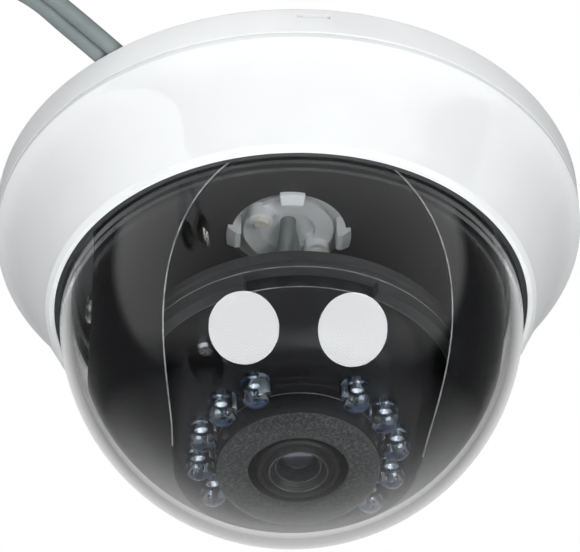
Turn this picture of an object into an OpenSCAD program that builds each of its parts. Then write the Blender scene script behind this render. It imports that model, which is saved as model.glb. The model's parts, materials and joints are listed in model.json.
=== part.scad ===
// Ceiling dome camera: a white base with a twist-off cover and a clear bubble, a black inner
// liner that pans, a ring that tilts in it, and a round camera module that turns in the ring.
// Frame: +Z up, origin at the centre of the mounting face, the bubble hanging towards -Z.
// Heights are Z values, so they are negative below the mounting face. The moving parts are
// drawn about the bubble's centre, looking straight down, and then tilted and panned.

/* [Body] */
// Diameter of the base and of the cover's side wall
body_d = 110; // [109.6:0.2:111]
// Height of the base's side wall, down to the seam
base_h = 6; // [5.8:0.1:6.1]
// Thickness of the base's back plate
back_t = 2; // [1.8:0.1:2]
// Radius of the cover's round opening
lip_r = 43.9; // [43.8:0.1:44]
// Diameter of the circle through the mounting holes
mount_pcd = 82; // [81:0.5:83]
// Radius of a mounting hole
mount_hole_r = 1.75; // [1.7:0.05:1.8]

/* [Bubble and liner] */
// Outer radius of the clear bubble
dome_r = 43; // [42.9:0.05:43.05]
// Thickness of the bubble
dome_t = 2; // [1.6:0.1:2]
// Depth of the bubble's centre below the mounting face
dome_drop = 25.8; // [25.6:0.1:25.9]
// Outer radius of the inner liner
liner_r = 40; // [39.8:0.1:40.2]
// Half the distance between the liner's flat cheeks
cheek_x = 36.8; // [36.6:0.1:36.9]
// Radius of the pan plate's centre hole
pan_hole_r = 11; // [10.9:0.05:11.1]

/* [Camera module] */
// Infrared lamps on each side of the module
lamps_per_side = 5; // [3:1:5]
// Angle between neighbouring lamps
lamp_pitch = 24.2; // [23:0.1:24.5]
// Angle left free between the two front lamps
lamp_gap = 61; // [58:1:62]
// Radius of the ring of lamps
lamp_ring_r = 17.3; // [17.2:0.05:17.4]
// Diameter of a lamp
lamp_d = 5.1; // [4.8:0.05:5.2]

/* [Aim as modelled] */
// Pan of the liner
pan_rest = 7; // [-180:1:180]
// Tilt of the module from straight down
tilt_rest = 4; // [0:1:57]

/* [Leads] */
// Diameter of each lead
lead_d = 3; // [2.8:0.1:3]
// Radius of the inner coil at the middle of its turns
coil_r = 15; // [14.8:0.1:15.2]

/* [Hidden] */
$fn = 96;
eps = 0.01;
body_r = body_d / 2;
back_z = -back_t;
base_wall_in = body_r - 2.2;
spigot_r = 48;
bayonet_count = 3;
bayonet_deg = 14;
lug_top = -8.5;
lug_bottom = -10;
rail_z = -3.2;
plate_top = -3.3;
plate_bottom = -4.9;
flange_bottom = -6.2;
flange_screw_r = 32;
flange_screw_angles = [90, 205, 335];
hook_angles = [5, 95, 185, 275];
hook_deg = 23;
boss_pos = [[-5.2, -4.8], [5.2, 4.8]];
boss_bottom = -6;
grommet_r = 6;
lip_z = -25.1;
crease = [46.2, -23];
ledge_z = -23.2;
flange_top = -21.3;
dome_in = dome_r - dome_t;
dome_flange_r = lip_r + 0.6;
liner_in = liner_r - 1.3;
cheek_in = cheek_x - 1.6;
window_w = 25.2;
window_h = 27.8;
window_z = -19.7;
window_pole_r = 21.5;
pivot_r = 1.5;
collar_r = 30.5;
collar_top = -14.4;
collar_bottom = -20.5;
rim_r = 28.42;
plate_z = -31;
step_r = 16.7;
step_z = -32.6;
shell_t = 1.4;
board_top = -27.6;
board_bottom = -28.8;
pocket_r = 3.2;
pocket_ring_r = 24.4;
pocket_angles = [224, 44];
pocket_floor = -24.5;
roof_z = -6;
sensor_board_top = -17;
sensor_board_bottom = -18.2;
lens_front = -37.9;
lens_hole_r = 9.6;
shroud_r = 14.5;
shroud_front = -36.9;
foam_r = 14.3;
foam_front = -38.3;
sensor_screw_xy = 11.5;
sensor_board_w = 28;

// lamps counted from the front gap, left side first; -90 degrees is the front
lamp_angles = [
    for (side = [-1, 1]) for (i = [0 : lamps_per_side - 1]) -90 + side * (lamp_gap / 2 + lamp_pitch * i)
];
board_screw_angles = [-90, 70, 110];

// Leads: the stretch from the grommet to the coils, and the tails over the edge, as centre lines
coil_centre = [26, 16.5];
video_start = [
    [0, 1.5, 0], [0.3, 1.5, 3], [1.8, 1.5, 6], [4.4, 1.5, 8.4], [8, 1.5, 9.4], [12, 1.5, 8.8],
    [16, 1.5, 7.2], [20, 1.5, 5.5], [23, 1.5, 4.7], [26, 1.5, 4.5]
];
power_start = [
    [0, -1.5, 0], [0.3, -1.5, 3], [1.8, -1.5, 6], [4.4, -1.5, 8.4], [8, -1.5, 9.4], [12, -1.5, 8.8],
    [16, -1.5, 7.2], [20, -1.5, 5.5], [23, -1.5, 4.7], [26, -1.5, 4.5]
];
// middle line of the two leads over the edge: x, y, z and half the distance between them
tail_route = [
    [15.4, 29.1, 1.5, 1.5], [9.4, 24, 1.5, 1.5], [3.4, 18.4, 1.5, 1.5], [-2.2, 12, 1.5, 1.5],
    [-6.4, 4.4, 1.5, 1.5], [-9.4, -3.8, 1.5, 1.5], [-12.2, -11.8, 1.5, 1.5], [-15.6, -19.6, 1.5, 1.5],
    [-20, -27, 1.5, 1.5], [-25.6, -35.1, 1.5, 1.5], [-31.5, -43.3, 1.5, 1.5], [-37.4, -51.4, 1.4, 1.5],
    [-43.3, -59.5, 1, 1.5], [-47.4, -65.1, -0.6, 2.3], [-51.5, -70.8, -3.6, 3.8],
    [-55.4, -76.2, -8, 5.2], [-58.8, -80.8, -13, 5.8]
];
tail_end_dir = [-0.45, -0.61, -0.65];
front_inner_lead = [
    [0, -1.5, 0], [0, -1.5, -3.2], [-0.2, -0.9, -5.2], [-0.6, 0.7, -7.2], [-1.2, 3, -8.8], [-1.6, 6, -9.6]
];
rear_inner_lead = [
    [0, 1.5, 0], [0, 1.5, -2.6], [0.3, 2.2, -4.4], [0.8, 3.6, -6.2], [1.3, 4.8, -8], [1.6, 6, -9.6]
];

function bezier(p, t) =
    pow(1 - t, 3) * p[0] + 3 * t * pow(1 - t, 2) * p[1] + 3 * t * t * (1 - t) * p[2] + pow(t, 3) * p[3];
function curve(p, n = 10) = [for (i = [0 : n]) bezier(p, i / n)];
function unit(v) = v / norm(v);
function tangent(route, i) = unit(route[min(i + 1, len(route) - 1)] - route[max(i - 1, 0)]);
function point_of(v) = [v[0], v[1], v[2]];
function reversed(v) = [for (i = [len(v) - 1 : -1 : 0]) v[i]];

// the tail of one lead: side is 1 for the video lead and -1 for the power lead
function heading(i) =
    let (a = tail_route[max(i - 1, 0)], b = tail_route[min(i + 1, len(tail_route) - 1)])
    unit([b[0] - a[0], b[1] - a[1]]);
function tail(side) = [
    for (i = [0 : len(tail_route) - 1])
        point_of(tail_route[i]) + side * tail_route[i][3] * [-heading(i)[1], heading(i)[0], 0]
];

// ---- helpers -------------------------------------------------------------------------------

// a flat ring between two heights
module ring(r_in, r_out, top, bottom) {
    translate([0, 0, bottom]) difference() {
        cylinder(r = r_out, h = top - bottom);
        translate([0, 0, -1]) cylinder(r = r_in, h = top - bottom + 2);
    }
}

// a stretch of ring, centred on the +X direction
module ring_arc(r_in, r_out, top, bottom, width) {
    rotate([0, 0, -width / 2]) rotate_extrude(angle = width)
        translate([r_in, bottom]) square([r_out - r_in, top - bottom]);
}

module disc(r, top, bottom) {
    translate([0, 0, bottom]) cylinder(r = r, h = top - bottom);
}

module panned() {
    rotate([0, 0, pan_rest]) children();
}

// places what is drawn about the bubble's centre, looking straight down
module aimed() {
    panned() translate([0, 0, -dome_drop]) rotate([-tilt_rest, 0, 0]) children();
}

module at_angle(a, r) {
    rotate([0, 0, a]) translate([r, 0, 0]) children();
}

// a cross-head screw that points up: its head hangs below the seat at height z
module screw(z, head_r, head_h, shaft_r, shaft_h) {
    difference() {
        union() {
            disc(head_r, z, z - head_h * 0.6);
            translate([0, 0, z - head_h]) cylinder(r1 = head_r * 0.72, r2 = head_r, h = head_h * 0.4);
            disc(shaft_r, z + shaft_h, z - head_h / 2);
        }
        for (a = [0, 90]) rotate([0, 0, a])
            translate([-head_r * 0.55, -head_r * 0.12, z - head_h - 1]) cube([head_r * 1.1, head_r * 0.24, 1 + head_h * 0.45]);
    }
}

// a round tube along a route; across is a direction that the route never takes
module sweep(route, r, across, sides = 8) {
    n = len(route);
    points = [
        for (i = [0 : n - 1])
            let (u = unit(cross(tangent(route, i), across)), v = cross(u, tangent(route, i)))
            for (k = [0 : sides - 1]) route[i] + r * (cos(360 * k / sides) * u + sin(360 * k / sides) * v)
    ];
    walls = [
        for (i = [0 : n - 2]) for (k = [0 : sides - 1])
            let (m = (k + 1) % sides)
            [i * sides + k, i * sides + m, (i + 1) * sides + m, (i + 1) * sides + k]
    ];
    polyhedron(
        points,
        concat([reversed([for (k = [0 : sides - 1]) k])], walls, [[for (k = [0 : sides - 1]) (n - 1) * sides + k]]),
        convexity = 6
    );
}

// stands what is drawn along +Z at a lead's end, pointing the way the lead goes
module at_lead_end(side) {
    end = tail(side)[len(tail_route) - 1];
    d = unit(tail_end_dir);
    translate(end) rotate([0, acos(d[2]), atan2(d[1], d[0])]) children();
}

// ---- base ----------------------------------------------------------------------------------

// snap hook with a sloping nose, which the pan plate is pushed over
module pan_hook() {
    rotate([0, 0, -hook_deg / 2]) rotate_extrude(angle = hook_deg) polygon([
        [9.3, back_z + 0.5], [9.3, -7], [10.3, -7], [pan_hole_r + 0.9, -5.9],
        [pan_hole_r + 0.9, plate_bottom - 0.15], [pan_hole_r - 0.06, plate_bottom - 0.15],
        [pan_hole_r - 0.06, back_z + 0.5]
    ]);
}

module mounting_base() {
    color([0.93, 0.94, 0.94]) difference() {
        union() {
            disc(body_r, 0, back_z);
            ring(base_wall_in, body_r, 0, -base_h);
            ring(spigot_r - 1.8, spigot_r, back_z + 0.5, lug_bottom);
            for (i = [0 : bayonet_count - 1]) rotate([0, 0, 30 + i * 360 / bayonet_count])
                ring_arc(spigot_r - 0.5, spigot_r + 1.4, lug_top, lug_bottom, bayonet_deg);
            ring(29.8, 31.4, back_z + 0.5, rail_z);
            for (i = [0 : 7]) rotate([0, 0, 22.5 + i * 45])
                translate([14, -0.6, -2.9]) cube([16, 1.2, 1.4]);
            for (i = [0 : 3]) at_angle(45 + i * 90, mount_pcd / 2) disc(4.6, back_z + 0.5, -3.2);
            for (a = hook_angles) rotate([0, 0, a]) pan_hook();
        }
        translate([0, 0, back_z - 2]) cylinder(r = grommet_r, h = back_t + 3);
        for (i = [0 : 3]) at_angle(45 + i * 90, mount_pcd / 2)
            translate([0, 0, -6]) cylinder(r = mount_hole_r, h = 8);
        for (p = boss_pos) translate([p[0], p[1], -3]) cylinder(r = 0.82, h = 2.4);
        // pry slot in the side wall
        rotate([0, 0, -84]) translate([body_r - 0.9, -3, -2.4]) cube([2, 6, 0.9]);
    }
}

module cable_grommet() {
    color([0.85, 0.86, 0.86]) difference() {
        union() {
            disc(grommet_r - 0.02, 0, back_z - 0.1);
            disc(grommet_r + 0.2, back_z - 0.05, back_z - 1.1);
        }
        for (y = [-1.5, 1.5]) translate([0, y, -4]) cylinder(r = lead_d / 2 + 0.02, h = 5);
        translate([-1, -1.5, -4]) cube([2, 3, 5]);
    }
}

module inner_leads() {
    color([0.3, 0.32, 0.32]) {
        sweep(front_inner_lead, lead_d / 2, [1, 0, 0]);
        sweep(rear_inner_lead, lead_d / 2, [1, 0, 0]);
    }
}

module inner_plug() {
    color([0.9, 0.89, 0.84]) difference() {
        translate([-4, 6.02, -12]) cube([8, 2.8, 4.6]);
        for (x = [-2.4, -0.8, 0.8, 2.4]) translate([x - 0.4, 7.6, -11]) cube([0.8, 2, 0.8]);
    }
}

// flat ring that holds the grommet, with a tower for each of its two screws
module lead_clamp() {
    color([0.93, 0.94, 0.94]) difference() {
        union() {
            ring(5.1, 8.6, back_z - 1.15, back_z - 2.2);
            for (p = boss_pos) translate([p[0], p[1], 0]) disc(2.4, back_z - 1.15, boss_bottom);
        }
        for (p = boss_pos) translate([p[0], p[1], boss_bottom - 1]) cylinder(r = 0.82, h = 6);
    }
}

module clamp_screws() {
    color([0.87, 0.87, 0.85])
        for (p = boss_pos) translate([p[0], p[1], 0]) screw(boss_bottom, 1.6, 0.9, 0.8, 5.2);
}

// ---- leads ---------------------------------------------------------------------------------

module lead_coil(r) {
    translate([coil_centre[0], coil_centre[1], 0]) rotate_extrude() {
        for (z = [0.5, 1.5]) translate([r, z * lead_d]) circle(d = lead_d, $fn = 24);
        translate([r - lead_d / 2, lead_d / 2]) square([lead_d, lead_d]);
    }
}

module lead_start(route) {
    color([0.49, 0.52, 0.52]) sweep(route, lead_d / 2, [0, 1, 0]);
}

module lead_tail(side) {
    color([0.49, 0.52, 0.52]) sweep(tail(side), lead_d / 2, [0, 0, 1]);
}

// rubber boot behind a connector: stepped and tapered
module socket_boot(side) {
    color([0.1, 0.1, 0.1]) at_lead_end(side) difference() {
        union() {
            translate([0, 0, -3]) cylinder(r1 = 2.1, r2 = 3.4, h = 8);
            translate([0, 0, 5]) cylinder(r = 4.6, h = 6);
        }
        translate([0, 0, -4]) cylinder(r = lead_d / 2 + 0.02, h = 4.2);
    }
}

// coaxial socket: shell with two bayonet pins, insulator and centre contact
module video_socket() {
    color([0.72, 0.72, 0.7]) at_lead_end(1) {
        difference() {
            union() {
                translate([0, 0, 11.02]) cylinder(r = 4.8, h = 4);
                translate([0, 0, 15]) cylinder(r = 4.85, h = 11);
                for (a = [0, 180]) rotate([0, 0, a]) translate([4, 0, 21.5]) rotate([0, 90, 0]) cylinder(r = 0.9, h = 1.8);
            }
            translate([0, 0, 17]) cylinder(r = 4.1, h = 10);
        }
        difference() {
            translate([0, 0, 16.5]) cylinder(r = 2.4, h = 8);
            translate([0, 0, 20]) cylinder(r = 0.7, h = 6);
        }
    }
}

// round power socket with a centre pin
module power_socket() {
    color([0.1, 0.1, 0.1]) at_lead_end(-1) {
        difference() {
            translate([0, 0, 11.02]) cylinder(r = 5, h = 14);
            translate([0, 0, 15]) cylinder(r = 3.2, h = 11);
        }
        translate([0, 0, 14]) cylinder(r = 1.05, h = 10);
    }
}

// ---- cover and bubble ----------------------------------------------------------------------

cover_outer = curve([[body_r - 0.6, -base_h - 1.9], [51.5, -10.5], [49.6, -16], crease]);
cover_inner = curve([[52.5, -base_h - 0.9], [49.6, -9.6], [47.6, -15], [45.1, -21.3]]);

module cover() {
    color([0.95, 0.96, 0.97]) {
        rotate_extrude() polygon(concat(
            [[52.5, -base_h - 0.12], [body_r, -base_h - 0.12], [body_r, -base_h - 1.2]],
            cover_outer,
            [[45.6, -24.4], [44.8, lip_z - 0.1], [lip_r, lip_z], [lip_r, ledge_z], [45, ledge_z], [45, -21.8]],
            reversed(cover_inner)
        ));
        for (i = [0 : bayonet_count - 1]) rotate([0, 0, 30 + i * 360 / bayonet_count])
            ring_arc(spigot_r + 0.3, 51.6, -6.7, lug_top + 0.2, bayonet_deg);
        for (i = [0 : 5]) rotate([0, 0, i * 60]) ring_arc(44.7, 46.6, -18.3, -19.1, 10);
    }
}

module dome_bubble() {
    color([0.8, 0.85, 0.85, 0.25]) rotate_extrude() {
        difference() {
            intersection() {
                translate([0, -dome_drop]) circle(r = dome_r, $fn = 180);
                translate([0, -dome_drop - dome_r - 1]) square([dome_r + 1, dome_r + 1]);
            }
            translate([0, -dome_drop]) circle(r = dome_in, $fn = 180);
        }
        translate([dome_in, -dome_drop]) square([dome_t, dome_drop + flange_top]);
        translate([dome_in, ledge_z + 0.1]) square([dome_flange_r - dome_in, flange_top - ledge_z - 0.1]);
    }
}

module dome_seal() {
    color([0.08, 0.08, 0.08]) ring(dome_r + 0.03, lip_r - 0.03, ledge_z + 0.05, lip_z + 0.1);
}

module dome_retainer() {
    color([0.08, 0.08, 0.08]) ring(dome_in - 0.3, lip_r + 0.8, -19.25, flange_top + 0.08);
}

// ---- pan body ------------------------------------------------------------------------------

module pan_plate() {
    color([0.09, 0.09, 0.09]) panned() difference() {
        disc(34.6, plate_top, plate_bottom);
        translate([0, 0, -10]) cylinder(r = pan_hole_r, h = 10);
        for (a = flange_screw_angles) at_angle(a, flange_screw_r)
            translate([0, 0, -6]) cylinder(r = 0.82, h = 4);
    }
}

// outline of the window, seen from the front: an upright ellipse
window_outline = [for (a = [0 : 7.5 : 352.5]) [window_w * cos(a), window_z + window_h * sin(a)]];

module liner() {
    color([0.07, 0.07, 0.07]) panned() translate([0, 0, -dome_drop]) difference() {
        union() {
            // shell and cheeks, turned about the tilt axis
            rotate([0, 90, 0]) rotate_extrude() difference() {
                intersection() {
                    circle(r = liner_r, $fn = 180);
                    translate([0, -cheek_x]) square([liner_r, 2 * cheek_x]);
                }
                intersection() {
                    circle(r = liner_in, $fn = 180);
                    translate([0, -cheek_in]) square([liner_r, 2 * cheek_in]);
                }
                translate([0, -liner_r]) square([pivot_r + 0.05, 2 * liner_r]);
            }
            translate([0, 0, dome_drop]) ring(31, 33.9, plate_bottom - 0.02, flange_bottom);
        }
        translate([-50, -50, dome_drop + plate_bottom - 0.02]) cube([100, 100, 30]);
        // the window: upright towards the front, round at the lowest point
        rotate([90, 0, 0]) linear_extrude(height = 60) polygon(window_outline);
        translate([0, 0, -50]) cylinder(r = window_pole_r, h = 30);
        for (a = flange_screw_angles) at_angle(a, flange_screw_r)
            translate([0, 0, 15]) cylinder(r = 0.95, h = 12);
    }
}

module liner_screws() {
    color([0.6, 0.6, 0.62]) panned()
        for (a = flange_screw_angles) at_angle(a, flange_screw_r) screw(flange_bottom - 0.02, 1.3, 1, 0.8, 2.8);
}

// ---- tilt body -----------------------------------------------------------------------------

module tilt_ring() {
    color([0.1, 0.1, 0.1]) aimed() difference() {
        union() {
            disc(collar_r, collar_top, collar_bottom);
            disc(collar_r + 0.7, collar_top, -16);
            for (s = [-1, 1]) {
                translate([s * 31.5 - 2.7, -5, -16]) cube([5.4, 10, 1.6]);
                translate([s * 33.4 - 0.8, -5, -16]) cube([1.6, 10, 16]);
                rotate([0, s * 90, 0]) translate([0, 0, 32.6]) cylinder(r = 5, h = 1.6);
                rotate([0, s * 90, 0]) translate([0, 0, 34]) cylinder(r = 3.4, h = 0.8);
            }
        }
        translate([0, 0, -17.1]) cylinder(r = 29.6, h = 2.8);
        translate([0, 0, -15.5]) cylinder(r = 30, h = 0.6);
        translate([0, 0, -22]) cylinder(r = rim_r + 0.08, h = 10);
        for (s = [-1, 1]) rotate([0, s * 90, 0]) translate([0, 0, 30]) cylinder(r = pivot_r + 0.02, h = 6);
        // front gap where a finger turns the module
        rotate([0, 0, -90]) ring_arc(rim_r - 1, collar_r + 1, -17.7, -21, 46);
    }
}

module pivot_screws() {
    color([0.75, 0.76, 0.77]) aimed() for (s = [-1, 1]) rotate([0, s * 90, 0]) difference() {
        union() {
            translate([0, 0, 32.2]) cylinder(r = pivot_r, h = cheek_x - 32.1);
            translate([0, 0, cheek_x + 0.06]) cylinder(r = 2.9, h = 0.7);
            translate([0, 0, cheek_x + 0.76]) cylinder(r1 = 2.9, r2 = 2.1, h = 0.5);
        }
        for (a = [0, 90]) rotate([0, 0, a]) translate([-1.5, -0.35, cheek_x + 0.6]) cube([3, 0.7, 2]);
    }
}

module pivot_washers() {
    color([0.85, 0.84, 0.8]) aimed() for (s = [-1, 1]) rotate([0, s * 90, 0])
        translate([0, 0, 34.82]) difference() {
            cylinder(r = 3.2, h = 0.32);
            translate([0, 0, -1]) cylinder(r = pivot_r + 0.02, h = 3);
        }
}

module module_snap_ring() {
    color([0.6, 0.6, 0.62]) aimed() difference() {
        ring(28.7, 29.98, -14.92, -15.48);
        translate([0, 20, -16]) cube([4, 20, 4]);
    }
}

// ---- camera module -------------------------------------------------------------------------

shoulder = [[rim_r, -20.9], [27.2, -26], [24.6, -31], [20.2, plate_z]];
shell_outer = concat([[rim_r, -17.1]], curve(shoulder));
shell_inner = curve([[rim_r - shell_t, -20.5], [25.8, -25.4], [23.4, -29.6], [19.6, plate_z + shell_t]]);

module lamp_place(i) {
    at_angle(lamp_angles[i], lamp_ring_r) children();
}

// the front shell as if it were solid, used to trim what stands inside it
module front_envelope() {
    rotate_extrude() polygon(concat([[0, -16]], [[rim_r, -16]], shell_outer, [[0, plate_z]]));
}

module front_shell() {
    color([0.06, 0.06, 0.06]) aimed() difference() {
        union() {
            rotate_extrude() polygon(concat(
                [[rim_r - shell_t, -15.55], [29.5, -15.55], [29.5, -17]],
                shell_outer,
                [[lens_hole_r, plate_z], [lens_hole_r, plate_z + shell_t]],
                reversed(shell_inner)
            ));
            intersection() {
                front_envelope();
                for (a = pocket_angles) at_angle(a, pocket_ring_r) disc(pocket_r + 1, pocket_floor + 1.5, -40);
            }
            ring(lens_hole_r, step_r, plate_z + 0.5, step_z);
            // shroud round the lens, which carries the foam on its front
            ring(shroud_r - shell_t, shroud_r, step_z + 0.5, shroud_front);
            ring(lens_hole_r, shroud_r, shroud_front + 1.2, shroud_front);
            for (a = board_screw_angles) at_angle(a, lamp_ring_r) disc(1.9, board_bottom - 0.02, plate_z + 0.5);
        }
        for (i = [0 : 2 * lamps_per_side - 1]) lamp_place(i) {
            translate([0, 0, -32]) cylinder(r = lamp_d / 2 + 0.15, h = 4);
            translate([0, 0, step_z - 1]) cylinder(r = lamp_d / 2 + 0.5, h = plate_z - step_z + 1);
        }
        for (a = pocket_angles) at_angle(a, pocket_ring_r) {
            translate([0, 0, -45]) cylinder(r = pocket_r, h = 45 + pocket_floor);
            translate([0, 0, pocket_floor - 1]) cylinder(r = 0.95, h = 4);
        }
        for (a = board_screw_angles) at_angle(a, lamp_ring_r) translate([0, 0, -30.4]) cylinder(r = 0.82, h = 4);
        at_angle(90, lamp_ring_r) translate([0, 0, -34]) cylinder(r = 2.6, h = 6);
        // finger grooves round the rim, reached through the gap in the tilt ring
        for (i = [0 : 35]) rotate([0, 0, i * 10]) translate([rim_r - 0.5, -0.9, -20.3]) cube([2, 1.8, 2.4]);
        // moulding mark
        rotate([0, 0, -88.8]) translate([26.8, 0, -25.65]) rotate([0, 116, 0]) ring(0.45, 0.7, 2, -0.3);
    }
}

module rear_shell() {
    color([0.08, 0.08, 0.08]) aimed() difference() {
        union() {
            rotate_extrude() polygon([
                [5, roof_z], [22, roof_z], [26, -9], [26.9, -13], [28.6, -13.4], [28.6, -14.8],
                [rim_r - shell_t - 0.05, -14.8], [rim_r - shell_t - 0.05, -16.6], [25.6, -16.6], [25.4, -13],
                [24.8, -9.8], [21.4, roof_z - shell_t], [5, roof_z - shell_t]
            ]);
            for (a = pocket_angles) at_angle(a, pocket_ring_r) {
                disc(2.3, -9, pocket_floor + 1.52);
                translate([-1.5, -0.6, -12]) cube([3, 1.2, 2]);
            }
            for (x = [-1, 1]) for (y = [-1, 1])
                translate([x * sensor_screw_xy, y * sensor_screw_xy, 0]) disc(2, roof_z - 0.5, sensor_board_top + 0.02);
        }
        for (a = pocket_angles) at_angle(a, pocket_ring_r) translate([0, 0, pocket_floor + 1]) cylinder(r = 0.82, h = 8);
        for (x = [-1, 1]) for (y = [-1, 1])
            translate([x * sensor_screw_xy, y * sensor_screw_xy, -18]) cylinder(r = 0.82, h = 6);
    }
}

module shell_screws() {
    color([0.8, 0.81, 0.82]) aimed()
        for (a = pocket_angles) at_angle(a, pocket_ring_r) screw(pocket_floor - 0.02, 1.6, 1.5, 0.8, 8);
}

module lamp_board() {
    color([0.05, 0.2, 0.1]) aimed() difference() {
        ring(lens_hole_r, 21.2, board_top, board_bottom);
        for (a = pocket_angles) at_angle(a, pocket_ring_r) translate([0, 0, -30]) cylinder(r = pocket_r + 1.2, h = 4);
        for (a = board_screw_angles) at_angle(a, lamp_ring_r) translate([0, 0, -30]) cylinder(r = 0.95, h = 4);
        for (i = [0 : 2 * lamps_per_side - 1]) lamp_place(i)
            for (y = [-1.27, 1.27]) translate([0, y, -30]) cylinder(r = 0.4, h = 4, $fn = 16);
    }
}

// the screws go in from behind, so they are the usual screw turned over
module lamp_board_screws() {
    color([0.75, 0.76, 0.77]) aimed()
        for (a = board_screw_angles) at_angle(a, lamp_ring_r)
            rotate([180, 0, 0]) screw(-board_top - 0.02, 1.5, 0.9, 0.8, 2.6);
}

module infrared_lamp(i) {
    color([0.75, 0.82, 0.9, 0.6]) aimed() lamp_place(i) {
        disc(2.8, board_bottom - 0.02, -29.5);
        disc(lamp_d / 2, -29.4, -33.85);
        translate([0, 0, -33.85]) sphere(d = lamp_d, $fn = 48);
        for (y = [-1.27, 1.27]) translate([0, y, 0]) disc(0.3, -26.8, -29, $fn = 16);
    }
}

module light_sensor() {
    color([0.75, 0.6, 0.45]) aimed() at_angle(90, lamp_ring_r) disc(2.5, board_bottom - 0.02, -30.8);
}

module foam_ring() {
    color([0.22, 0.22, 0.22]) aimed() rotate_extrude() polygon([
        [8.8, shroud_front - 0.02], [foam_r, shroud_front - 0.02], [foam_r, -37.4], [13.3, foam_front],
        [8.8, foam_front]
    ]);
}

module sensor_board() {
    color([0.05, 0.2, 0.1]) aimed() difference() {
        translate([-sensor_board_w / 2, -sensor_board_w / 2, sensor_board_bottom])
            cube([sensor_board_w, sensor_board_w, sensor_board_top - sensor_board_bottom]);
        for (x = [-1, 1]) for (y = [-1, 1])
            translate([x * sensor_screw_xy, y * sensor_screw_xy, -20]) cylinder(r = 0.95, h = 4);
    }
    color([0.1, 0.1, 0.1]) aimed() {
        translate([-5, -5, sensor_board_top - eps]) cube([10, 10, 1.1]);
        translate([-8.5, 7, sensor_board_top - eps]) cube([9, 4, 3.6]);
    }
}

module sensor_board_screws() {
    color([0.75, 0.76, 0.77]) aimed() for (x = [-1, 1]) for (y = [-1, 1])
        translate([x * sensor_screw_xy, y * sensor_screw_xy, 0]) screw(sensor_board_bottom - 0.02, 1.6, 1, 0.8, 5);
}

module image_sensor() {
    color([0.15, 0.15, 0.17]) aimed() translate([-4, -3.5, -19.6]) cube([8, 7, 1.38]);
}

module lens_holder() {
    color([0.05, 0.05, 0.05]) aimed() difference() {
        union() {
            translate([-7.6, -7.6, -22]) cube([15.2, 15.2, 3.78]);
            disc(7.6, -21, -28.4);
        }
        translate([-4.6, -4.6, -20.6]) cube([9.2, 9.2, 3]);
        translate([0, 0, -30]) cylinder(r = 6.05, h = 7.6);
        translate([0, 0, -24]) cylinder(r = 4, h = 6);
    }
}

module lens_barrel() {
    color([0.05, 0.05, 0.05]) aimed() difference() {
        union() {
            disc(6, -23, -31.5);
            rotate_extrude() polygon([
                [0, -31], [7.4, -31], [7.4, -37.2], [7, lens_front + 0.2], [6.5, lens_front + 0.2],
                [6.3, lens_front + 0.9], [5.7, lens_front + 0.9], [5.3, lens_front], [4.9, lens_front], [0, lens_front]
            ]);
        }
        translate([0, 0, lens_front - 0.01]) cylinder(r1 = 4.9, r2 = 3.8, h = 1.4);
        translate([0, 0, lens_front + 1.3]) cylinder(r = 3.72, h = 2.6);
        translate([0, 0, lens_front]) cylinder(r = 3, h = 16);
        translate([0, 0, -25]) cylinder(r = 3.72, h = 3);
    }
}

module lens_lock_ring() {
    color([0.12, 0.12, 0.12]) aimed() difference() {
        ring(6.04, 8.5, -28.7, -30.4);
        for (i = [0 : 23]) rotate([0, 0, i * 15]) translate([8.2, -0.35, -31]) cube([1, 0.7, 3]);
    }
}

module lens_front_element() {
    color([0.25, 0.3, 0.45, 0.5]) aimed() intersection() {
        translate([0, 0, lens_front + 1.35 + 7.6]) sphere(r = 7.6);
        disc(3.7, lens_front + 3.8, lens_front);
    }
}

module lens_rear_element() {
    color([0.25, 0.3, 0.45, 0.5]) aimed() disc(3.7, -23.1, -24.98);
}

module infrared_filter() {
    color([0.4, 0.15, 0.2, 0.6]) aimed() translate([-4.4, -4.4, -20.55]) cube([8.8, 8.8, 0.5]);
}

// ---- build ---------------------------------------------------------------------------------

mounting_base();
cable_grommet();
inner_leads();
inner_plug();
lead_clamp();
clamp_screws();
lead_start(video_start);  // video_lead_start
color([0.49, 0.52, 0.52]) lead_coil(coil_r);  // video_lead_coil
lead_tail(1);  // video_lead_tail
socket_boot(1);  // video_socket_boot
video_socket();
lead_start(power_start);  // power_lead_start
color([0.49, 0.52, 0.52]) lead_coil(coil_r + lead_d);  // power_lead_coil
lead_tail(-1);  // power_lead_tail
socket_boot(-1);  // power_socket_boot
power_socket();
cover();
dome_bubble();
dome_seal();
dome_retainer();
pan_plate();
liner();
liner_screws();
tilt_ring();
pivot_screws();
pivot_washers();
module_snap_ring();
front_shell();
rear_shell();
shell_screws();
lamp_board();
lamp_board_screws();
light_sensor();
foam_ring();
sensor_board();
sensor_board_screws();
image_sensor();
lens_holder();
lens_barrel();
lens_lock_ring();
lens_front_element();
lens_rear_element();
infrared_filter();
for (i = [1 : 2 * lamps_per_side])
    infrared_lamp(i - 1);
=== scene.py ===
import json
import math

import bmesh
import bpy
from mathutils import Matrix, Vector


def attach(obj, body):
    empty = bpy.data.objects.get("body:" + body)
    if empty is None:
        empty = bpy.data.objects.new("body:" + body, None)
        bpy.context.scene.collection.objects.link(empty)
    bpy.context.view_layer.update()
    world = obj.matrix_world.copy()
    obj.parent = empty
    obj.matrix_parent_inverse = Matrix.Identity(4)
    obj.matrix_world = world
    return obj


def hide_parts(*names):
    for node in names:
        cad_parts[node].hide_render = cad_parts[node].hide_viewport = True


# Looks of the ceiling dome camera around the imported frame. Blender works in metres. The sizes
# below are in millimetres, as in the CAD source, and become metres where a mesh is made.

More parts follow.
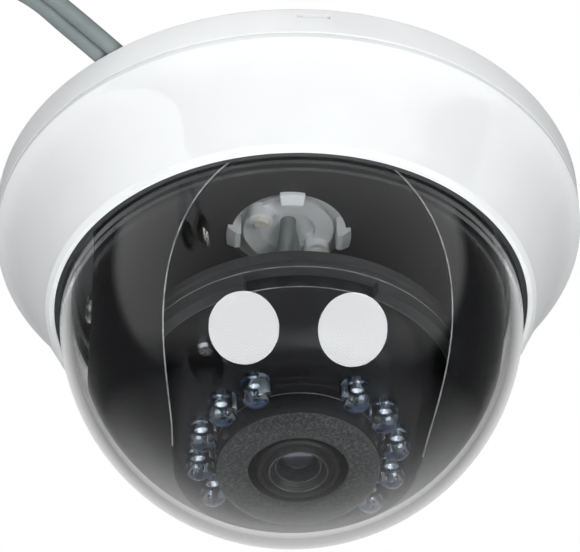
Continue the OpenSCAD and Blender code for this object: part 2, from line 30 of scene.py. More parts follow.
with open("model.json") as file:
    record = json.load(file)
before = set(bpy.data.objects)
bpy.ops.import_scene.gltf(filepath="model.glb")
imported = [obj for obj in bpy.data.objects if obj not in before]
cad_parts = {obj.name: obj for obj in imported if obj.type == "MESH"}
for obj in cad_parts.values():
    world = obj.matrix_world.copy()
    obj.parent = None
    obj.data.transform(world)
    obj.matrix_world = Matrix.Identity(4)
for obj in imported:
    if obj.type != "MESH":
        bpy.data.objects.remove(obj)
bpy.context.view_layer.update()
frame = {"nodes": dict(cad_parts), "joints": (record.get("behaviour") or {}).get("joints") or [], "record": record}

MM = 0.001
SEGMENTS = 192

# ---- sizes, in millimetres -------------------------------------------------------------------

BODY_R = 55.0
BASE_H = 6.0
BASE_WALL_T = 2.2
BACK_T = 2.0
GROMMET_R = 6.0
SPIGOT_R = 48.0
SPIGOT_T = 1.8
SPIGOT_BOTTOM = -10
RAIL_IN_R = 29.8
RAIL_OUT_R = 31.4
RAIL_BOTTOM = -3.2
BAYONET_COUNT = 3
BAYONET_DEG = 14
RIB_COUNT = 8
HOOK_COUNT = 4
HOOK_FIRST = 5
HOOK_DEG = 23
MOUNT_COUNT = 4
MOUNT_R = 41.0
MOUNT_BOSS_R = 4.6
MOUNT_HOLE_R = 1.75
CLIP_COUNT = 6
CLIP_DEG = 10
LIP_R = 43.9
LIP_Z = -25.1
LEDGE_Z = -23.2
DOME_R = 43.0
DOME_T = 2.0
DOME_DROP = 25.8
DOME_FLANGE_TOP = -21.3
LINER_R = 40.0
LINER_T = 1.3
CHEEK_X = 36.8
CHEEK_T = 1.6
PAN_HOLE_R = 11.0
PLATE_BOTTOM = -4.9
FLANGE_BOTTOM = -6.2
FLANGE_SCREW_R = 32.0
FLANGE_SCREW_ANGLES = (90, 205, 335)
WINDOW_W = 25.2
WINDOW_H = 27.8
WINDOW_Z = -19.7
WINDOW_POLE_R = 21.5
PIVOT_HOLE_R = 1.55
RIM_R = 28.42
NOTCH_COUNT = 36
PLATE_Z = -31.0
STEP_R = 16.7
STEP_Z = -32.6
SHELL_T = 1.4
LENS_HOLE_R = 9.6
LAMP_RING_R = 17.3
LAMP_D = 5.1
LAMPS_PER_SIDE = 5
LAMP_PITCH = 24.2
LAMP_GAP = 61.0
POCKET_R = 3.2
POCKET_RING_R = 24.4
POCKET_ANGLES = (224, 44)
POCKET_FLOOR = -24.5
SHROUD_R = 14.5
SHROUD_FRONT = -36.9
FOAM_R = 14.3
FOAM_FRONT = -38.3
LENS_FRONT = -37.9
LENS_R = 3.7
LENS_SEAT_R = 3.72
LENS_CURVE_R = 4.3
LEAD_D = 3.0
COIL_CENTRE = (26.0, 16.5)
COIL_R = 15.0

# ---- the frames that the moving parts are drawn in ------------------------------------------

joints = {joint["name"]: joint for joint in frame["joints"]}
lens_axis = Vector(joints["lens_rotation"]["axis"])
PAN = math.atan2(lens_axis.x, -lens_axis.y)
TILT = math.acos(-lens_axis.z)
PANNED = Matrix.Rotation(PAN, 4, "Z")
BALL = PANNED @ Matrix.Translation((0, 0, -DOME_DROP))
AIMED = BALL @ Matrix.Rotation(-TILT, 4, "X")
HOME = Matrix.Identity(4)


def turned(angle, radius=0.0):
    """the frame at a distance from the axis, turned by an angle in degrees"""
    return Matrix.Rotation(math.radians(angle), 4, "Z") @ Matrix.Translation((radius, 0, 0))


# ---- camera ----------------------------------------------------------------------------------

# places in metres, on a sensor of 36 mm
EYE = Vector((0, -0.5300, -0.4761))
TARGET = Vector((0, 0, -0.0157))
SENSOR_W = 36
FOCAL_LENGTH = 232.7
ROLL_DEG = -1.92


def add_camera():
    data = bpy.data.cameras.new("camera")
    data.lens = FOCAL_LENGTH
    data.sensor_width = SENSOR_W
    data.clip_start = 0.01
    camera = bpy.data.objects.new("camera", data)
    bpy.context.scene.collection.objects.link(camera)
    look = (TARGET - EYE).to_track_quat("-Z", "Y").to_matrix().to_4x4()
    roll = Matrix.Rotation(math.radians(ROLL_DEG), 4, "Z")
    camera.matrix_world = Matrix.Translation(EYE) @ look @ roll
    bpy.context.scene.camera = camera
    return camera


camera = add_camera()

# ---- mesh helpers ----------------------------------------------------------------------------


def arc(centre, radius, start, end, steps):
    """points along an arc, angles in degrees"""
    angles = [math.radians(start + (end - start) * i / steps) for i in range(steps + 1)]
    return [(centre[0] + radius * math.cos(a), centre[1] + radius * math.sin(a)) for a in angles]


def bezier(corners, steps):
    """points along a cubic curve"""
    a, b, c, d = (Vector(p) for p in corners)
    points = []
    for i in range(steps + 1):
        t = i / steps
        p = a * (1 - t) ** 3 + b * 3 * t * (1 - t) ** 2 + c * 3 * t * t * (1 - t) + d * t ** 3
        points.append((p.x, p.y))
    return points


def rounded(outline, steps=4):
    """an outline whose corners may carry a third number, the radius that rounds them"""
    result = []
    for i, corner in enumerate(outline):
        here = Vector(corner[:2])
        if len(corner) < 3:
            result.append((here.x, here.y))
            continue
        before = Vector(outline[i - 1][:2]) - here
        after = Vector(outline[(i + 1) % len(outline)][:2]) - here
        half = before.angle(after) / 2
        cut = min(corner[2] / math.tan(half), 0.48 * before.length, 0.48 * after.length)
        radius = cut * math.tan(half)
        centre = here + (before.normalized() + after.normalized()).normalized() * radius / math.sin(half)
        start = here + before.normalized() * cut - centre
        end = here + after.normalized() * cut - centre
        for k in range(steps + 1):
            p = centre + start.lerp(end, k / steps).normalized() * radius
            result.append((p.x, p.y))
    return result


def lathe(bm, outline, place=HOME, segments=SEGMENTS, start=0.0, span=360.0):
    """turns a closed outline of (radius, height) points about Z; a part turn gets flat ends"""
    whole = span >= 360.0
    count = segments if whole else max(2, round(segments * span / 360))
    rings = []
    for k in range(count if whole else count + 1):
        angle = math.radians(start + span * k / count)
        ring = []
        for i, (r, z) in enumerate(outline):
            if abs(r) < 1e-6 and rings:
                ring.append(rings[0][i])
            else:
                point = Vector((r * math.cos(angle), r * math.sin(angle), z))
                ring.append(bm.verts.new(place @ point * MM))
        rings.append(ring)
    made = []
    for k in range(count):
        here, there = rings[k], rings[(k + 1) % len(rings)]
        for i in range(len(outline)):
            j = (i + 1) % len(outline)
            corners = list(dict.fromkeys([here[i], there[i], there[j], here[j]]))
            if len(corners) > 2:
                made.append(bm.faces.new(corners))
    if not whole:
        made.append(bm.faces.new(rings[0]))
        made.append(bm.faces.new(rings[-1]))
    bmesh.ops.recalc_face_normals(bm, faces=made)
    return made


def block(bm, low, high, place=HOME, bevel=0.0):
    """a box between two corners, with rounded edges"""
    size = [h - l for l, h in zip(low, high)]
    middle = [(h + l) / 2 for l, h in zip(low, high)]
    matrix = place @ Matrix.Translation(middle) @ Matrix.Diagonal((*size, 1))
    made = bmesh.ops.create_cube(bm, size=1.0, matrix=matrix)["verts"]
    if bevel:
        edges = list({edge for v in made for edge in v.link_edges})
        made = bmesh.ops.bevel(bm, geom=edges, offset=bevel, segments=2, profile=0.5,
                               affect="EDGES")["verts"]
    for v in made:
        v.co *= MM


def shade(mesh, sharp=30.0):
    """smooth faces, with edges over the sharp angle kept crisp"""
    bm = bmesh.new()
    bm.from_mesh(mesh)
    limit = math.radians(sharp)
    for face in bm.faces:
        face.smooth = True
    for edge in bm.edges:
        edge.smooth = len(edge.link_faces) == 2 and edge.calc_face_angle(0.0) < limit
    bm.to_mesh(mesh)
    bm.free()


def make(name, bm, sharp=30.0):
    """an object made of what is in bm"""
    mesh = bpy.data.meshes.new(name)
    bm.to_mesh(mesh)
    bm.free()
    piece = bpy.data.objects.new(name, mesh)
    bpy.context.scene.collection.objects.link(piece)
    shade(mesh, sharp)
    return piece


def combine(piece, bm, operation, sharp=30.0):
    """cuts the solids in bm out of the piece, or joins them to it"""
    tool = make("tool", bm)
    modifier = piece.modifiers.new("combine", "BOOLEAN")
    modifier.solver = "MANIFOLD"
    modifier.operation = operation
    modifier.object = tool
    bpy.context.view_layer.update()
    result = piece.evaluated_get(bpy.context.evaluated_depsgraph_get())
    mesh = bpy.data.meshes.new_from_object(result)
    piece.modifiers.clear()
    piece.data = mesh
    mesh.name = piece.name
    bpy.data.objects.remove(tool)
    shade(mesh, sharp)


def cylinder_outline(radius, low, high):
    """a plain cylinder for the lathe"""
    return [(0, low), (radius, low), (radius, high), (0, high)]


def tube_curve(name, points, diameter):
    """a round tube on one smooth curve through the points, in millimetres"""
    data = bpy.data.curves.new(name, "CURVE")
    data.dimensions = "3D"
    data.bevel_depth = diameter / 2 * MM
    data.bevel_resolution = 6
    data.resolution_u = 8
    data.use_fill_caps = True
    spline = data.splines.new("BEZIER")
    spline.bezier_points.add(len(points) - 1)
    for knot, point in zip(spline.bezier_points, points):
        knot.co = Vector(point) * MM
        knot.handle_left_type = "AUTO"
        knot.handle_right_type = "AUTO"
    piece = bpy.data.objects.new(name, data)
    bpy.context.scene.collection.objects.link(piece)
    return piece


# ---- materials -------------------------------------------------------------------------------


class Nodes:
    """short names for the nodes of one material"""

    def __init__(self, name):
        self.material = bpy.data.materials.new(name)
        self.material.use_nodes = True
        self.tree = self.material.node_tree
        self.shader = self.tree.nodes["Principled BSDF"]
        self.output = self.tree.nodes["Material Output"]

    def node(self, kind, **settings):
        made = self.tree.nodes.new(kind)
        for key, value in settings.items():
            setattr(made, key, value)
        return made

    def link(self, a, b):
        self.tree.links.new(a, b)

    def place(self):
        return self.node("ShaderNodeTexCoord").outputs["Object"]

    def noise(self, size_mm, detail=3.0):
        """noise whose features are about the given size"""
        made = self.node("ShaderNodeTexNoise")
        made.inputs["Scale"].default_value = 1 / (size_mm * MM)
        made.inputs["Detail"].default_value = detail
        self.link(self.place(), made.inputs["Vector"])
        return made.outputs["Fac"]

    def between(self, factor, low, high):
        made = self.node("ShaderNodeMapRange")
        made.inputs["From Min"].default_value = 0.3
        made.inputs["From Max"].default_value = 0.7
        made.inputs["To Min"].default_value = low
        made.inputs["To Max"].default_value = high
        self.link(factor, made.inputs["Value"])
        return made.outputs["Result"]

    def colours(self, factor, first, second):
        ramp = self.node("ShaderNodeValToRGB")
        ramp.color_ramp.elements[0].position = 0.3
        ramp.color_ramp.elements[0].color = (*first, 1)
        ramp.color_ramp.elements[1].position = 0.7
        ramp.color_ramp.elements[1].color = (*second, 1)
        self.link(factor, ramp.inputs["Fac"])
        return ramp.outputs["Color"]

    def bump(self, height, depth_mm, strength=1.0):
        made = self.node("ShaderNodeBump")
        made.inputs["Strength"].default_value = strength
        made.inputs["Distance"].default_value = depth_mm * MM
        self.link(height, made.inputs["Height"])
        self.link(made.outputs["Normal"], self.shader.inputs["Normal"])


def surface(name, colour, roughness, grain_mm, depth_mm, mottle=0.06, spread=0.05, patch_mm=9.0,
            **sockets):
    """a moulded, turned or coated surface: slight mottling, uneven gloss and a fine grain"""
    nodes = Nodes(name)
    patches = nodes.noise(patch_mm, 2.0)
    darker = [c * (1 - mottle) for c in colour]
    lighter = [min(1.0, c * (1 + mottle)) for c in colour]
    nodes.link(nodes.colours(patches, darker, lighter), nodes.shader.inputs["Base Color"])
    gloss = nodes.between(nodes.noise(patch_mm / 3, 4.0), roughness - spread, roughness + spread)
    nodes.link(gloss, nodes.shader.inputs["Roughness"])
    nodes.bump(nodes.noise(grain_mm, 4.0), depth_mm)
    for key, value in sockets.items():
        nodes.shader.inputs[key.replace("_", " ")].default_value = value
    return nodes.material


def clear(name, colour, ior, tint, specular, roughness=0.0):
    """smooth clear plastic or glass that lets the studio lamps' light through to what is behind it"""
    nodes = Nodes(name)
    shader = nodes.shader
    shader.inputs["Base Color"].default_value = (*colour, 1)
    shader.inputs["Transmission Weight"].default_value = 1.0
    shader.inputs["IOR"].default_value = ior
    shader.inputs["Specular IOR Level"].default_value = specular
    shader.inputs["Roughness"].default_value = roughness
    nodes.bump(nodes.noise(3.0, 1.0), 0.0005, 0.2)
    through = nodes.node("ShaderNodeBsdfTransparent")
    through.inputs["Color"].default_value = (*tint, 1)
    path = nodes.node("ShaderNodeLightPath")
    mix = nodes.node("ShaderNodeMixShader")
    nodes.link(path.outputs["Is Shadow Ray"], mix.inputs["Fac"])
    nodes.link(shader.outputs["BSDF"], mix.inputs[1])
    nodes.link(through.outputs["BSDF"], mix.inputs[2])
    nodes.link(mix.outputs["Shader"], nodes.output.inputs["Surface"])
    return nodes.material


def foam_material():
    """open-cell foam: fine pores, very rough, with painted shade that darkens the pores' pits"""
    nodes = Nodes("foam")
    pores = nodes.node("ShaderNodeTexVoronoi", feature="SMOOTH_F1")
    pores.inputs["Scale"].default_value = 1 / (0.38 * MM)
    nodes.link(nodes.place(), pores.inputs["Vector"])
    # painted shade: the colour follows the bump's height, darker down in the pits
    nodes.link(nodes.colours(pores.outputs["Distance"], (0.010, 0.010, 0.0105), (0.042, 0.042, 0.043)),
               nodes.shader.inputs["Base Color"])
    nodes.bump(pores.outputs["Distance"], 0.15, 0.6)
    nodes.shader.inputs["Roughness"].default_value = 0.95
    nodes.shader.inputs["Specular IOR Level"].default_value = 0.15
    nodes.shader.inputs["Sheen Weight"].default_value = 0.04
    return nodes.material


def board_material():
    """dark blue solder mask over copper tracks"""
    nodes = Nodes("circuit_board")
    tracks = nodes.node("ShaderNodeTexBrick", offset=0.37)
    tracks.inputs["Scale"].default_value = 1 / (3.0 * MM)
    tracks.inputs["Mortar Size"].default_value = 0.05
    tracks.inputs["Color1"].default_value = (0.008, 0.014, 0.03, 1)
    tracks.inputs["Color2"].default_value = (0.007, 0.012, 0.026, 1)
    tracks.inputs["Mortar"].default_value = (0.02, 0.035, 0.07, 1)
    nodes.link(nodes.place(), tracks.inputs["Vector"])
    nodes.link(tracks.outputs["Color"], nodes.shader.inputs["Base Color"])
    nodes.link(nodes.between(nodes.noise(2.0), 0.22, 0.36), nodes.shader.inputs["Roughness"])
    nodes.bump(tracks.outputs["Fac"], 0.03)
    return nodes.material


MATERIALS = {
    "white_plastic": surface("white_plastic", (0.83, 0.845, 0.855), 0.55, 0.35, 0.004, mottle=0.012,
                             Specular_IOR_Level=0.3),
    "black_gloss": surface("black_gloss", (0.005, 0.005, 0.0056), 0.22, 0.5, 0.002, mottle=0.2,
                           spread=0.02),
    # painted highlight: a light grey that stands for the lamps' bright line along rounded edges
    "painted_edge_highlight": surface("painted_edge_highlight", (0.15, 0.15, 0.15), 0.3, 0.3, 0.004, mottle=0.5, patch_mm=3.0),
    # painted highlight: a dim grey for the fainter bright lines along the lens's rims
    "faint_painted_highlight": surface("faint_painted_highlight", (0.06, 0.06, 0.06), 0.3, 0.3, 0.004, mottle=0.5, patch_mm=3.0),
    "black_plastic": surface("black_plastic", (0.013, 0.013, 0.014), 0.46, 0.3, 0.008, mottle=0.2),
    "lens_black": surface("lens_black", (0.005, 0.005, 0.0055), 0.36, 0.2, 0.003, mottle=0.2,
                          Specular_IOR_Level=0.2),
    "lamp_cup": surface("lamp_cup", (0.92, 0.94, 0.96), 0.28, 0.15, 0.004, Metallic=1.0),
    "white_rubber": surface("white_rubber", (0.76, 0.77, 0.77), 0.55, 0.4, 0.01, mottle=0.02),
    "black_rubber": surface("black_rubber", (0.02, 0.02, 0.021), 0.62, 0.4, 0.012, mottle=0.2),
    "steel": surface("steel", (0.72, 0.73, 0.75), 0.2, 0.12, 0.002, Metallic=1.0),
    "nickel": surface("nickel", (0.66, 0.64, 0.6), 0.24, 0.15, 0.002, Metallic=1.0),
    "gold": surface("gold", (0.9, 0.66, 0.28), 0.2, 0.15, 0.002, Metallic=1.0),
    "grey_lead": surface("grey_lead", (0.2, 0.235, 0.235), 0.5, 0.5, 0.01, mottle=0.08),
    "plug_nylon": surface("plug_nylon", (0.72, 0.69, 0.6), 0.5, 0.4, 0.006),
    "nylon": surface("nylon", (0.7, 0.68, 0.62), 0.5, 0.4, 0.006),
    "sensor_ceramic": surface("sensor_ceramic", (0.5, 0.3, 0.14), 0.25, 0.4, 0.004, Coat_Weight=1.0),
    "sensor_package": surface("sensor_package", (0.03, 0.03, 0.04), 0.22, 0.5, 0.002, Coat_Weight=0.8),
    "filter_glass": surface("filter_glass", (0.25, 0.06, 0.08), 0.08, 1.0, 0.0005, Coat_Weight=1.0),
    "foam": foam_material(),
    "circuit_board": board_material(),
    "clear_dome": clear("clear_dome", (0.985, 0.99, 0.99), 1.58, (0.88, 0.89, 0.89), specular=0.8),
    "lamp_epoxy": clear("lamp_epoxy", (0.72, 0.79, 0.88), 1.54, (0.8, 0.87, 0.95), specular=0.8,
                        roughness=0.02),
    "lens_glass": clear("lens_glass", (0.5, 0.55, 0.65), 1.5, (0.4, 0.45, 0.55), specular=0.4),
}


def finish_piece(piece, body, slot, replaced=()):
    """material, body, record slot and the CAD nodes that the piece stands for"""
    piece.data.materials.clear()
    piece.data.materials.append(MATERIALS[slot])
    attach(piece, body)
    if replaced:
        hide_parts(*replaced)
    return piece


# ---- leads -----------------------------------------------------------------------------------

# the way out of the base, the tails' middle line with half the gap between them, and the coil
START_XZ = [(0, 0), (0.3, 3), (1.8, 6), (4.4, 8.4), (8, 9.4), (12, 8.8), (16, 7.2), (20, 5.5), (23, 4.7)]
TAIL_ROUTE = [
    (15.4, 29.1, 1.5, 1.5), (9.4, 24, 1.5, 1.5), (3.4, 18.4, 1.5, 1.5), (-2.2, 12, 1.5, 1.5),
    (-6.4, 4.4, 1.5, 1.5), (-9.4, -3.8, 1.5, 1.5), (-12.2, -11.8, 1.5, 1.5), (-15.6, -19.6, 1.5, 1.5),
    (-20, -27, 1.5, 1.5), (-25.6, -35.1, 1.5, 1.5), (-31.5, -43.3, 1.5, 1.5), (-37.4, -51.4, 1.4, 1.5),
    (-43.3, -59.5, 1, 1.5), (-47.4, -65.1, -0.6, 2.3), (-51.5, -70.8, -3.6, 3.8),
    (-55.4, -76.2, -8, 5.2), (-58.8, -80.8, -13, 5.8),
]
TAIL_END = Vector((-0.45, -0.61, -0.65)).normalized()
COIL_START = 270
COIL_TURN = 580
COIL_STEPS = 29


def tail_points(side):
    """the tail of one lead, to the left of the middle line for side 1 and to the right for -1"""
    points = []
    for i, (x, y, z, half) in enumerate(TAIL_ROUTE):
        a = TAIL_ROUTE[max(i - 1, 0)]
        b = TAIL_ROUTE[min(i + 1, len(TAIL_ROUTE) - 1)]
        along = Vector((b[0] - a[0], b[1] - a[1])).normalized()
        points.append((x - side * half * along.y, y + side * half * along.x, z))
    return points


def coil_points(radius):
    """one and a half turns: the first stretch lies on the last one, and comes down in between"""
    points = []
    overlap = COIL_TURN - 360
    for i in range(COIL_STEPS):
        turn = COIL_TURN * i / COIL_STEPS
        down = min(1.0, max(0.0, (turn - overlap) / (360 - overlap)))
        drop = down * down * (3 - 2 * down)
        angle = math.radians(COIL_START + turn)
        points.append((
            COIL_CENTRE[0] + radius * math.cos(angle),
            COIL_CENTRE[1] + radius * math.sin(angle),
            LEAD_D * (1.5 - drop),
        ))
    return points


def add_lead(name, side, radius):
    start = [(x, side * LEAD_D / 2, z) for x, z in START_XZ]
    piece = tube_curve(name, start + coil_points(radius) + tail_points(side), LEAD_D)
    prefix = name.split("_")[0]
    nodes = [f"{prefix}_lead_start", f"{prefix}_lead_coil", f"{prefix}_lead_tail"]
    return finish_piece(piece, "base", "grey_lead", nodes)


def lead_end(side):
    """the frame at a lead's end, with +Z the way the lead goes"""
    turn = TAIL_END.to_track_quat("Z", "Y").to_matrix().to_4x4()
    return Matrix.Translation(tail_points(side)[-1]) @ turn


def add_boot(name, side):
    """tapered strain relief with ribs, then the grip"""
    bm = bmesh.new()
    outer = [(1.52, -3, 0.2), (2.1, -3, 0.3)]
    for i in range(5):
        z = -2 + i * 1.4
        r = 2.25 + 0.19 * i
        outer += [(r, z), (r, z + 0.7, 0.1), (r - 0.35, z + 0.75, 0.1), (r - 0.3, z + 1.3, 0.1)]
    outer += [(3.4, 5), (4.6, 5.0, 0.5), (4.6, 11, 0.3), (0, 11), (0, 0.2), (1.52, 0.2)]
    lathe(bm, rounded(outer, 3), lead_end(side), 64)
    piece = make(name, bm)
    return finish_piece(piece, "base", "black_rubber", [name.replace("relief", "socket_boot")])


def add_video_socket():
    """coaxial bayonet socket: shell, insulator and contact"""
    place = lead_end(1)
    bm = bmesh.new()
    lathe(bm, rounded([
        (0, 11.02), (4.8, 11.02, 0.2), (4.8, 15), (4.5, 15.1), (4.5, 15.6), (4.85, 15.7, 0.15),
        (4.85, 26, 0.25), (4.1, 26, 0.25), (4.1, 17), (0, 17)]), place, 96)
    shell = make("video_socket_shell", bm)
    for turn in (0, 180):
        bm = bmesh.new()
        aside = Matrix.Translation((4, 0, 21.5)) @ Matrix.Rotation(math.radians(90), 4, "Y")
        pin = place @ turned(turn) @ aside
        lathe(bm, rounded([(0, 0), (0.9, 0), (0.9, 1.8, 0.2), (0, 1.8)]), pin, 32)
        combine(shell, bm, "UNION")
    bm = bmesh.new()
    lathe(bm, rounded([(0.72, 17.02), (2.4, 17.02), (2.4, 24.5, 0.3), (0.72, 24.5, 0.2)]), place, 64)
    insulator = make("video_socket_insulator", bm)
    bm = bmesh.new()
    lathe(bm, rounded([
        (0, 17.02), (0.7, 17.02), (0.7, 24.2, 0.1), (0.35, 24.2, 0.1), (0.35, 21), (0, 21)]), place, 32)
    contact = make("video_socket_contact", bm)
    finish_piece(shell, "base", "nickel", ["video_socket"])
    finish_piece(insulator, "base", "nylon")
    finish_piece(contact, "base", "nickel")
    contact.data.materials[0] = MATERIALS["gold"]
    return [shell, insulator, contact]


def add_power_socket():
    """barrel socket: body and centre pin"""
    place = lead_end(-1)
    bm = bmesh.new()
    lathe(bm, rounded([
        (0, 11.02), (5, 11.02, 0.2), (5, 13), (4.7, 13.2), (4.7, 13.8), (5, 14), (5, 25.02, 0.4),
        (3.2, 25.02, 0.3), (3.2, 15), (0, 15)]), place, 96)
    body = make("power_socket_body", bm)
    bm = bmesh.new()
    lathe(bm, rounded([(0, 15.02), (1.05, 15.02), (1.05, 24, 0.4), (0, 24)]), place, 48)
    pin = make("power_socket_pin", bm)
    finish_piece(body, "base", "black_plastic", ["power_socket"])
    finish_piece(pin, "base", "nickel")
    return [body, pin]


video_lead = add_lead("video_lead", 1, COIL_R)
power_lead = add_lead("power_lead", -1, COIL_R + LEAD_D)
video_end = [add_boot("video_relief", 1)] + add_video_socket()
power_end = [add_boot("power_relief", -1)] + add_power_socket()

# ---- base ------------------------------------------------------------------------------------


def bayonet_places():
    """the frames of the cover's tabs and of the lugs that they turn behind"""
    return [turned(30 + i * 360 / BAYONET_COUNT) for i in range(BAYONET_COUNT)]


def mount_places():
    """the frames of the holes for the ceiling screws"""
    return [turned(45 + i * 360 / MOUNT_COUNT, MOUNT_R) for i in range(MOUNT_COUNT)]


def add_base():
    """back plate, side wall, bayonet spigot, pan rail, ribs, screw bosses and the four hooks"""
    bm = bmesh.new()
    wall_r = BODY_R - BASE_WALL_T
    spigot_in_r = SPIGOT_R - SPIGOT_T
    lathe(bm, rounded([
        (GROMMET_R, 0, 0.2), (BODY_R, 0, 0.4), (BODY_R, -BASE_H, 0.3), (wall_r, -BASE_H, 0.15),
        (wall_r, -BACK_T, 0.5), (SPIGOT_R, -BACK_T, 0.3), (SPIGOT_R, SPIGOT_BOTTOM, 0.3),
        (spigot_in_r, SPIGOT_BOTTOM, 0.3), (spigot_in_r, -BACK_T, 0.3), (RAIL_OUT_R, -BACK_T, 0.2),
        (RAIL_OUT_R, RAIL_BOTTOM, 0.2), (RAIL_IN_R, RAIL_BOTTOM, 0.2), (RAIL_IN_R, -BACK_T, 0.2),
        (GROMMET_R, -BACK_T, 0.2)]))
    piece = make("base_moulding", bm)
    bm = bmesh.new()
    lug = [(SPIGOT_R - 0.5, -8.5), (SPIGOT_R + 1.4, -8.5), (SPIGOT_R + 1.4, -9.9), (SPIGOT_R - 0.5, -9.9)]
    for place in bayonet_places():
        lathe(bm, lug, place, start=-BAYONET_DEG / 2, span=BAYONET_DEG)
    for i in range(RIB_COUNT):
        block(bm, (14, -0.6, -2.9), (29.9, 0.6, -1.5), turned((i + 0.5) * 360 / RIB_COUNT))
    boss = [(0, -1.5), (MOUNT_BOSS_R, -1.5), (MOUNT_BOSS_R, -3.2, 0.3), (0, -3.2)]
    for place in mount_places():
        lathe(bm, rounded(boss), place, 48)
    stem_r = PAN_HOLE_R - 0.06
    nose_r = PAN_HOLE_R + 0.9
    nose_z = PLATE_BOTTOM - 0.15
    hook = [
        (9.3, -1.5), (9.3, -7, 0.25), (10.3, -7, 0.3), (nose_r, -5.9, 0.3), (nose_r, nose_z, 0.1),
        (stem_r, nose_z), (stem_r, -1.5)]
    for i in range(HOOK_COUNT):
        place = turned(i * 360 / HOOK_COUNT + HOOK_FIRST)
        lathe(bm, rounded(hook), place, start=-HOOK_DEG / 2, span=HOOK_DEG)
    combine(piece, bm, "UNION")
    bm = bmesh.new()
    for place in mount_places():
        lathe(bm, cylinder_outline(MOUNT_HOLE_R, -6, 2), place, 48)
    for x, y in ((-5.2, -4.8), (5.2, 4.8)):
        lathe(bm, cylinder_outline(0.82, -3, -0.6), Matrix.Translation((x, y, 0)), 24)
    block(bm, (BODY_R - 0.9, -3, -2.4), (BODY_R + 1.1, 3, -1.5), turned(-84))
    combine(piece, bm, "DIFFERENCE")
    return finish_piece(piece, "base", "white_plastic", ["mounting_base"])


def add_inner_leads():
    """the two leads from the grommet to the plug behind the pan plate"""
    routes = {
        "front_inner_lead": [
            (0, -1.5, -0.2), (0, -1.5, -3.2), (-0.2, -0.9, -5.2), (-0.6, 0.7, -7.2), (-1.2, 3, -8.8),
            (-1.6, 6, -9.6)],
        "rear_inner_lead": [
            (0, 1.5, -0.2), (0, 1.5, -2.6), (0.3, 2.2, -4.4), (0.8, 3.6, -6.2), (1.3, 4.8, -8),
            (1.6, 6, -9.6)],
    }
    pieces = [tube_curve(name, points, LEAD_D) for name, points in routes.items()]
    finish_piece(pieces[0], "base", "grey_lead", ["inner_leads"])
    finish_piece(pieces[1], "base", "grey_lead")
    return pieces


add_base()
add_inner_leads()

# ---- cover and bubble ------------------------------------------------------------------------


def add_cover():
    """flared shell down to the lip round the bubble, with the bayonet tabs and the retainer's clips"""
    outer = bezier([(54.4, -7.9), (51.5, -10.5), (49.6, -16), (46.2, -23)], 28)
    inner = bezier([(52.5, -6.9), (49.6, -9.6), (47.6, -15), (45.1, -21.3)], 20)
    bm = bmesh.new()
    lathe(bm, rounded([
        (52.5, -6.12), (BODY_R, -6.12, 0.3), (BODY_R, -7.2), *outer, (45.6, -24.4),
        (44.8, LIP_Z - 0.1, 0.2), (LIP_R, LIP_Z, 0.2), (LIP_R, LEDGE_Z), (45, LEDGE_Z), (45, -21.8),
        *reversed(inner)]), segments=256)
    piece = make("cover_shell", bm, sharp=12)
    bm = bmesh.new()
    tab = [(SPIGOT_R + 0.3, -6.7), (51.6, -6.7), (51.6, -8.3), (SPIGOT_R + 0.3, -8.3)]
    for place in bayonet_places():
        lathe(bm, tab, place, start=-BAYONET_DEG / 2, span=BAYONET_DEG)
    clip = [(44.7, -18.3), (46.8, -18.3), (46.8, -19.1), (44.7, -19.1)]
    for i in range(CLIP_COUNT):
        lathe(bm, clip, turned(i * 360 / CLIP_COUNT), start=-CLIP_DEG / 2, span=CLIP_DEG)
    combine(piece, bm, "UNION", sharp=12)
    return finish_piece(piece, "enclosure", "white_plastic", ["cover"])


def add_bubble():
    """half a sphere and a short wall, with a flange that the retainer holds"""
    centre = (0, -DOME_DROP)
    outline = [
        *arc(centre, DOME_R, -90, 0, 72), (DOME_R, LEDGE_Z + 0.1), (LIP_R + 0.6, LEDGE_Z + 0.1),
        (LIP_R + 0.6, DOME_FLANGE_TOP), (DOME_R - DOME_T, DOME_FLANGE_TOP),
        *arc(centre, DOME_R - DOME_T, 0, -90, 72)]
    outline[0] = (0, outline[0][1])
    outline[-1] = (0, outline[-1][1])
    bm = bmesh.new()
    lathe(bm, outline, segments=256)
    return finish_piece(make("clear_bubble", bm), "enclosure", "clear_dome", ["dome_bubble"])


add_cover()
add_bubble()

# ---- liner -----------------------------------------------------------------------------------


def window_outline():
    """the window's edge seen from the front, an upright ellipse"""
    angles = [math.radians(360 * i / 160) for i in range(160)]
    return [(WINDOW_W * math.cos(a), WINDOW_Z + WINDOW_H * math.sin(a)) for a in angles]


